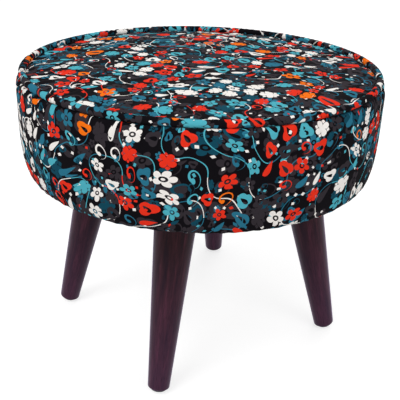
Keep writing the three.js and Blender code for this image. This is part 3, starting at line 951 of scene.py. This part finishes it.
def flower(add, local, petals, radius, waist, fullness=0.6):
    """distance < radius * (waist + (1 - waist) * |cos(petals * angle / 2)| ** fullness)."""
    distance, angle = polar(add, local)
    swing = add("Math COSINE", add("Math MULTIPLY", angle, petals / 2))
    swing = add("Math ABSOLUTE", swing)
    swing = add("Math POWER", swing, fullness)
    reach = add("Math MULTIPLY_ADD", swing, radius * (1 - waist), radius * waist)
    return add("Math LESS_THAN", distance, reach)


def band(add, local, inner, outer):
    """A ring: inner < distance < outer. With inner below zero it is a disc."""
    distance = polar(add, local)[0]
    middle, half = (inner + outer) / 2, (outer - inner) / 2
    return add("Math COMPARE", distance, middle, half)


def four_squares(add, local, out, half):
    """A small square in each quarter: both |x| and |y| lie within half of out."""
    folded = add("VectorMath SUBTRACT", add("VectorMath ABSOLUTE", local), (out, out, 0))
    side = add("SeparateXYZ", add("VectorMath ABSOLUTE", folded), out=None)
    largest = add("Math MAXIMUM", side[0], side[1])
    return add("Math LESS_THAN", largest, half)

# %% [markdown]
# Drops and scrolls follow a number that runs from 0 to 1 along them, and so does their width.
# %% Print: drops and scrolls
def drop(add, local, half_length, half_width, tail):
    """A bent drop: |y - tail * t * t| < half_width * 2.6 * sqrt(t) * (1 - t), where t goes from 0
    at the round end to 1 at the point. 2.6 makes half_width the widest half of the drop."""
    side = add("SeparateXYZ", local, out=None)
    t = add("Math MULTIPLY_ADD", side[0], 0.5 / half_length, 0.5)
    rest = add("Math SUBTRACT", 1.0, t)
    room = add("Math MULTIPLY", add("Math SQRT", t), rest)
    room = add("Math MULTIPLY", room, 2.6 * half_width)
    square = add("Math MULTIPLY", t, t)
    bent = add("Math MULTIPLY_ADD", square, -tail, side[1])
    return add("Math LESS_THAN", add("Math ABSOLUTE", bent), room)


def scroll(add, local, radius, width, knob):
    """One turn of a spiral with a round knob at its inner end:
    |distance - radius * (1 - 0.66 s)| < width * s, where s goes from 0 to 1 round the turn."""
    distance, angle = polar(add, local)
    s = add("Math MULTIPLY_ADD", angle, 0.5 / math.pi, 0.5)
    line = add("Math MULTIPLY_ADD", s, -0.66 * radius, radius)
    off = add("Math ABSOLUTE", add("Math SUBTRACT", distance, line))
    coil = add("Math LESS_THAN", off, add("Math MULTIPLY", s, width))
    end = add("VectorMath ADD", local, (0.34 * radius, -0.25 * knob, 0))
    return add("Math MAXIMUM", coil, band(add, end, -1, knob))

# %% [markdown]
# Each cell shows one of five motifs. The four-petalled flower has a square at each corner, and
# the pod is a rounded triangle with one seed cut out of it. They are drawn for a cell of 21 mm
# and follow the size of their own.
# %% Print: the five motifs
drawn_cell_mm = 21


def cut_out(add, mask, hole):
    """The mask without the hole: mask * (1 - hole)."""
    return add("Math MULTIPLY", mask, add("Math SUBTRACT", 1.0, hole))


def motif(add, local, pick, size):
    """One of five motifs, chosen by the cell's random number, for a cell of that size in mm."""
    s = size / drawn_cell_mm
    ring = band(add, local, 1.4 * s, 3.1 * s)
    five = cut_out(add, flower(add, local, 5, 9.5 * s, 0.36), ring)
    corners = four_squares(add, local, 5.6 * s, 1.6 * s)
    four = add("Math MAXIMUM", flower(add, local, 4, 9.4 * s, 0.3), corners)
    seed_hole = drop(add, local, 5.4 * s, 2.4 * s, 1.5 * s)
    pod = cut_out(add, flower(add, local, 3, 9.5 * s, 0.68, 1.2), seed_hole)
    swirl = scroll(add, local, 9.2 * s, 1.7 * s, 2.4 * s)
    leaf = drop(add, local, 9.6 * s, 3.8 * s, 5 * s)
    mask = 0.0
    low = 0.0
    for kind, share in ((five, 0.3), (four, 0.2), (pod, 0.2), (swirl, 0.15), (leaf, 0.15)):
        own = add("Math COMPARE", pick, low + share / 2, share / 2)
        mask = add("Math MULTIPLY_ADD", kind, own, mask)
        low += share
    return mask

# %% [markdown]
# Thin stems wander between the motifs. In each cell two quarter circles join the middles of its
# sides, so every stem runs on into the next cell.
# %% Print: the stems
def stems(add, cloth, size, width, seed):
    """Lines where the distance to one of two opposite corners is half a cell, within half a width.

    A random sign for each cell says which two corners."""
    inside, cell, noise = cells(add, cloth, size, 0, seed)
    sign = add("Math SIGN", add("Math SUBTRACT", noise["Value"], 0.5))
    inside = add("VectorMath SUBTRACT", inside, (0.5, 0.5, 0))
    inside = add("VectorMath MULTIPLY", inside, add("CombineXYZ", sign, 1.0, 0.0))
    half = width / size / 2
    lines = []
    for corner in (-0.5, 0.5):
        arm = add("VectorMath SUBTRACT", inside, (corner, corner, 0))
        lines.append(band(add, arm, 0.5 - half, 0.5 + half))
    return add("Math MAXIMUM", *lines), cell, [noise["Value"]] * 4

# %% [markdown]
# The print is built up like a real one, one screen after another: dim motifs in plum and teal
# first, then stems and squares, and the bright motifs last. The coordinates sway by a few mm over
# a hand's width, so the cells don't stand in straight rows. A layer has its cell's size in mm,
# its turn, its seed, the share of cells it fills and its inks, each with where it starts.
# %% Print: the layers
DIM_LAYERS = [
    (25, 0, 1, 0.5, [(0, "plum")]),
    (23, 8, 2, 0.3, [(0, "deep_teal"), (0.5, "teal"), (0.6, "plum")]),
    (11, 20, 4, 0.36, [
        (0, "plum"), (0.36, "deep_teal"), (0.62, "teal"), (0.7, "turquoise"), (0.76, "plum")]),
]
BRIGHT_LAYER = (20, 3, 5, 0.78, [
    (0, "plum"), (0.18, "turquoise"), (0.3, "red"), (0.39, "orange"), (0.42, "white"),
    (0.52, "plum"), (0.58, "teal"), (0.66, "red"), (0.73, "white"), (0.83, "turquoise")])
STEM_INKS = [(0, "teal"), (0.35, "white"), (0.58, "red"), (0.64, "turquoise")]
SQUARE_INKS = [(0, "teal"), (0.3, "white"), (0.52, "turquoise"), (0.62, "red"), (0.72, "white")]
stem_cell, stem_width, stem_seed = 43, 1.0, 3
square_cell, square_half, square_seed = 10.5, 1.6, 7
square_stray, square_share = 0.5, 0.42
sway_length, sway_reach = 62, 34


def printed(add, below, mask, share, cell, numbers, inks):
    """The mask's ink in that share of the cells, and what is below it elsewhere."""
    kept = add("Math LESS_THAN", numbers[1], share)
    mask = add("Math MULTIPLY", mask, kept)
    ink = ink_picker(add, cell, numbers[3], inks)
    return add("Mix", mask, below, ink, data_type="RGBA", out="Result")


def motif_layer(add, below, cloth, size, turn_deg, seed, share, inks):
    """One layer of motifs over what is below it."""
    local, cell, numbers = motif_cells(add, cloth, size, turn_deg, seed)
    return printed(add, below, motif(add, local, numbers[0], size), share, cell, numbers, inks)


def flower_print(add, cloth):
    """The print's colour, layer over layer, from the cloth's coordinates in mm."""
    sway = add("TexNoise", cloth, 1 / sway_length, 1.0, out="Color")
    sway = add("VectorMath SUBTRACT", sway, (0.5, 0.5, 0.5))
    cloth = add("VectorMath MULTIPLY_ADD", sway, (sway_reach, sway_reach, 0), cloth)
    colour = linear(INKS["black"])
    for layer in DIM_LAYERS:
        colour = motif_layer(add, colour, cloth, *layer)
    mask, cell, numbers = stems(add, cloth, stem_cell, stem_width, stem_seed)
    colour = printed(add, colour, mask, 1.0, cell, numbers, STEM_INKS)
    local, cell, numbers = motif_cells(add, cloth, square_cell, 0, square_seed, square_stray)
    squares = four_squares(add, local, 0.0, square_half)
    colour = printed(add, colour, squares, square_share, cell, numbers, SQUARE_INKS)
    return motif_layer(add, colour, cloth, *BRIGHT_LAYER)

# %% [markdown]
# Plain-woven cotton has a thread about every 0.4 mm. That is too fine to show here, so the weave
# is drawn at 0.9 mm: a checkerboard of small swells where one thread passes over the other. The
# print is painted a little darker between them, as painted shade in the weave's hollows, and
# cotton fuzz gives a weak sheen at the form's edge.
# %% Material: printed cotton
weave_mm = 0.9
thread_wave = math.pi / weave_mm


def printed_cotton():
    """The print, times 0.86 + 0.22 * slubs + 0.06 * weave, where weave = sin(x) * sin(y)."""
    material, add = new_material("printed_cotton_plain_weave")
    cloth = add("UVMap", uv_map="cloth_mm")
    colour = flower_print(add, cloth)
    waves = add("VectorMath MULTIPLY", cloth, (thread_wave, thread_wave, 0))
    side = add("SeparateXYZ", add("VectorMath SINE", waves), out=None)
    weave = add("Math MULTIPLY", side[0], side[1])
    slubs = add("TexNoise", cloth, 0.6, 4.0, 0.6)
    slub_tone_and_painted_weave_shade = add("Math MULTIPLY_ADD", slubs, 0.22, 0.86)
    # Painted shade: 0.06 * weave darkens the print in the hollows between the weave's swells; the
    # slubs are the yarn's own uneven tone.
    slub_tone_and_painted_weave_shade = add("Math MULTIPLY_ADD", weave, 0.06, slub_tone_and_painted_weave_shade)
    colour = add("VectorMath SCALE", colour, slub_tone_and_painted_weave_shade)
    height = add("Math MULTIPLY_ADD", weave, 0.5, slubs)
    return finish_surface(material, add, colour, 0.9, (0.35, 0.25, height), {
        "Sheen Weight": 0.004, "Sheen Roughness": 0.4, "Specular IOR Level": 0.03})


cotton = printed_cotton()
give(side_piece, cotton, "printed_cotton", "side_cover")
give(top_piece, cotton, "printed_cotton", "top_cover")
give(piping_piece, cotton, "piping_cotton", "piping_cover")

# %% [markdown]
# The legs are hardwood, stained a dark walnut with a red-purple cast and sprayed with satin
# lacquer. The stain sinks deeper into the open grain: broad bands and fine pores, both drawn out
# along the leg. Toward the foot the colour is painted lighter and more purple: a painted reflection
# of the bright room, which the drum shades near the top. A thin clear coat mirrors the room, and
# the dull bloom of the satin lacquer, a faint sheen, lightens the leg's edges.
# %% Material: stained and lacquered hardwood
band_mm = 9, 9, 110
pore_mm = 0.9, 0.9, 16
# Heights in m over which the leg's colour is painted lighter and more purple toward the foot, as
# painted reflection of the room, and how much at most.
painted_reflection_low_m, painted_reflection_high_m, most_painted_reflection = 0.02, 0.2, 0.2


def stained_wood():
    """A ramp over the bands, darker in the pores; painted reflection makes it lighter and more
    purple below.
    """
    material, add = new_material("dark_stained_hardwood_satin_lacquer")
    wood = add("Attribute", attribute_name="wood_mm", out="Vector")
    bands = add("Mapping", wood, None, None, [1 / size for size in band_mm])
    bands = add("TexNoise", bands, 1.6, 5.0, 0.62)
    colour = add("ValToRGB", bands, stops=[
        (0.3, "#170c0b"), (0.46, "#281411"), (0.58, "#361b1c"), (0.74, "#4c2630")])
    height = add("SeparateXYZ", add("TexCoord", out="Object"), out=2)
    # Painted reflection: below 0.2 m the colour goes lighter and more purple, for the bright room
    # that the drum no longer shades.
    painted_room_reflection = add("MapRange", height, painted_reflection_low_m, painted_reflection_high_m, most_painted_reflection, 0.0)
    colour = add("Mix", painted_room_reflection, colour, linear("#704a72"), data_type="RGBA", out="Result")
    pores = add("Mapping", wood, None, None, [1 / size for size in pore_mm])
    pores = add("TexNoise", pores, 1.0, 3.0, 0.6)
    dark = add("MapRange", pores, 0.3, 0.48, 0.55, 1.0)
    colour = add("VectorMath SCALE", colour, dark)
    rough = add("MapRange", bands, 0.3, 0.7, 0.3, 0.42)
    return finish_surface(material, add, colour, rough, (0.25, 0.15, dark), {
        "Specular IOR Level": 0.09, "Specular Tint": linear("#cdbcf2"), "Coat Weight": 0.06,
        "Coat Roughness": 0.25, "Sheen Weight": 0.9, "Sheen Roughness": 0.3,
        "Sheen Tint": linear("#a880cc")})


wood = stained_wood()
for place, piece in leg_pieces.items():
    give(piece, wood, "leg_wood", place + "_leg")

# %% [markdown]
# The glides are moulded black nylon, with a fine grain from the mould that keeps it from shining.
# The plates, screws and staples are steel under zinc, whose crystals differ a little in their
# grey and are dulled in smears.
# %% Materials: glides, steel and fasteners
def nylon():
    """A fine noise gives the moulded grain its colour, its roughness and its height."""
    material, add = new_material("moulded_black_nylon")
    place_in = add("TexCoord", out="Object")
    grain = add("TexNoise", place_in, 1 / (0.8 * MM), 2.0)
    rough = add("MapRange", grain, 0.3, 0.7, 0.42, 0.6)
    colour = add("ValToRGB", grain, stops=[(0.3, "#1e1e21"), (0.7, "#2a2a2e")])
    return finish_surface(material, add, colour, rough, (0.2, 0.05, grain))


def plated_steel(name, dark, light, crystal_mm, roughest):
    """The crystals' grey times a noise gives the metal its colour, and the noise its gloss."""
    material, add = new_material(name)
    place_in = add("TexCoord", out="Object")
    grey = add("SeparateColor", add("TexVoronoi", place_in, 1 / (crystal_mm * MM), out="Color"))
    smear = add("TexNoise", place_in, 1 / (14 * MM), 4.0)
    grey = add("Math MULTIPLY", grey, smear)
    colour = add("ValToRGB", grey, stops=[(0.0, dark), (0.6, light)])
    rough = add("MapRange", smear, 0.3, 0.7, roughest - 0.14, roughest)
    return finish_surface(material, add, colour, rough, (0.15, 0.05, grey), {"Metallic": 1.0})


glide_nylon = nylon()
plate_steel = plated_steel("pressed_zinc_plated_steel", "#7b7f84", "#b4b7ba", 2.5, 0.46)
screw_steel = plated_steel("bright_zinc_plated_steel", "#8f9296", "#c9cbcd", 0.9, 0.36)
staple_steel = plated_steel("galvanised_wire", "#8a8d90", "#c2c4c6", 0.6, 0.4)
for place, piece in glide_pieces.items():
    give(piece, glide_nylon, "glide_plastic", place + "_glide")
for node, piece in screw_pieces.items():
    give(piece, screw_steel, "zinc_screw", node)
give(staple_piece, staple_steel, "zinc_screw")

# %% [markdown]
# The boards are birch plywood, the hoop is raw fibreboard and the posts are sawn softwood: a
# grain along the board, and lines between its layers. The open-cell foam, the cotton cord and
# the black fleece are all dull and full of small hollows, painted darker as shade.
# %% Materials: boards, foam, cord and dust cover
def board(name, light, dark, veneer_mm, grain_mm):
    """A grain that runs along X, plus 0.12 * sin(height) for the lines between the veneers."""
    material, add = new_material(name)
    place_in = add("TexCoord", out="Object")
    long_grain = add("Mapping", place_in, None, None, (0.06, 1, 1))
    grain = add("TexNoise", long_grain, 1 / (grain_mm * MM), 5.0, 0.65)
    height = add("SeparateXYZ", place_in, out=2)
    layer = add("Math SINE", add("Math MULTIPLY", height, 2 * math.pi / (veneer_mm * MM)))
    mixed = add("Math MULTIPLY_ADD", layer, 0.12, grain)
    colour = add("ValToRGB", mixed, stops=[(0.3, dark), (0.65, light)])
    return finish_surface(material, add, colour, 0.72, (0.3, 0.1, mixed))


def porous(name, light, dark, pore_mm, depth_mm, rough=0.95):
    """Foam, fleece or fibres: a fine cell pattern, painted darker in its hollows as shade."""
    material, add = new_material(name)
    place_in = add("TexCoord", out="Object")
    pores = add("TexVoronoi", place_in, 1 / (pore_mm * MM), out="Distance")
    cloud = add("TexNoise", place_in, 1 / (22 * MM), 4.0)
    mixed = add("Math MULTIPLY", pores, cloud)
    # Painted shade: the colour is darkest at each cell's middle, where the bump makes a hollow; the
    # slow cloud is the material's own uneven tone.
    colour = add("ValToRGB", mixed, stops=[(0.05, dark), (0.4, light)])
    bump = 0.6, depth_mm, pores
    return finish_surface(material, add, colour, rough, bump, {"Specular IOR Level": 0.2})


plywood = board("birch_plywood", "#d9be92", "#b89463", 3.0, 4)
softwood = board("sawn_softwood", "#dcc295", "#bf9a62", 9.0, 3)
fibreboard = board("thin_fibreboard", "#8d6844", "#6c4c2f", 1.0, 1.2)
foam = porous("open_cell_foam", "#ece3c4", "#c9bd93", 1.1, 0.4)
cotton_cord = porous("twisted_cotton_cord", "#e2ded3", "#b9b4a6", 0.5, 0.2)
fleece = porous("black_non_woven_fleece", "#1d1d20", "#0d0d0f", 1.3, 0.12, 0.9)
give(seat_foam_piece, foam, "foam", "seat_foam")
give(side_foam_piece, foam, "foam", "side_foam")
give(cord_piece, cotton_cord, "filler_cord", "piping_cord")
give(dust_piece, fleece, "dust_cloth", "dust_cover")

KEPT_ENDINGS = {
    "base_board": plywood, "seat_board": plywood, "hoop": fibreboard, "_post": softwood,
    "_leg_plate": plate_steel, "_post_lower_screw": screw_steel,
    "_post_upper_screw": screw_steel, "_hanger_bolt": screw_steel,
}
kept_count = 0
for name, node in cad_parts.items():
    for ending, material in KEPT_ENDINGS.items():
        if name.endswith(ending):
            node.data.materials.clear()
            node.data.materials.append(material)
            kept_count += 1
print(kept_count, "CAD nodes kept with a material of their own")

# %% [markdown]
# The stool stands on a plain white floor in an evenly bright room, as in a product photograph.
# The camera and mirrors see floor and world as plain white, but the floor still takes the
# stool's shadow. Seen from below the floor is clear, to show the underside.
# %% Floor and world
floor_half_m = 9.0


def seen_directly(add):
    """1 for rays from the camera and for those that a mirror or glass sends on."""
    path = add("LightPath", out=None)
    seen = add("Math MAXIMUM", path["Is Camera Ray"], path["Is Glossy Ray"])
    return add("Math MAXIMUM", seen, path["Is Transmission Ray"])


def white_floor():
    """Lit white paper that glows a little where it is seen, and plain paper to all else."""
    material, add = new_material("white_studio_floor")
    glow = add("Emission", linear("#ffffff"), 0.7)
    both = add("AddShader", add("BsdfDiffuse", linear("#b8b8b8")), glow)
    dim = add("BsdfDiffuse", linear("#d8d8d8"))
    above = add("MixShader", seen_directly(add), dim, both)
    from_below = add("NewGeometry", out="Backfacing")
    shader = add("MixShader", from_below, above, add("BsdfTransparent"))
    add("OutputMaterial", shader, out=None)
    return material


floor_mesh = bpy.data.meshes.new("floor")
floor_sides = ((-1, -1), (1, -1), (1, 1), (-1, 1))
floor_corners = [(floor_half_m * x, floor_half_m * y, 0) for x, y in floor_sides]
floor_mesh.from_pydata(floor_corners, [], [(0, 1, 2, 3)])
floor_mesh.materials.append(white_floor())
floor = into_scene("floor", floor_mesh)

world = bpy.data.worlds.new("bright_room")
bpy.context.scene.world = world
world.use_nodes = True
world.node_tree.nodes.clear()
add = partial(add_node, world.node_tree)
room = add("Background", linear("#ffffff"), 0.62)
white = add("Background", linear("#ffffff"), 1.0)
add("OutputWorld", add("MixShader", seen_directly(add), room, white), out=None)
print("floor", 2 * floor_half_m, "m wide")

# %% [markdown]
# One broad lamp above and to the left gives the form its shade. A weaker one on the right and one
# behind keep the shaded sides from going dark.
# %% Lamps
def lamp(name, place_m, size_m, watts, aim_m=(0, 0, 0.25)):
    """A square area lamp that faces a point."""
    data = bpy.data.lights.new(name, "AREA")
    data.size = size_m
    data.energy = watts
    thing = into_scene(name, data)
    thing.location = place_m
    away = np.array(place_m) - np.array(aim_m)
    lean = math.acos(away[2] / np.linalg.norm(away))
    thing.rotation_euler = (lean, 0, math.atan2(away[1], away[0]) + math.pi / 2)
    print(name, watts, "W")


lamp("key_lamp", (-1.3, -1.9, 2.6), 1.8, 42)
lamp("fill_lamp", (2.2, -1.4, 1.5), 1.6, 16)
lamp("back_lamp", (0.4, 2.4, 2.0), 1.6, 16)
bpy.context.scene.view_settings.view_transform = "Standard"
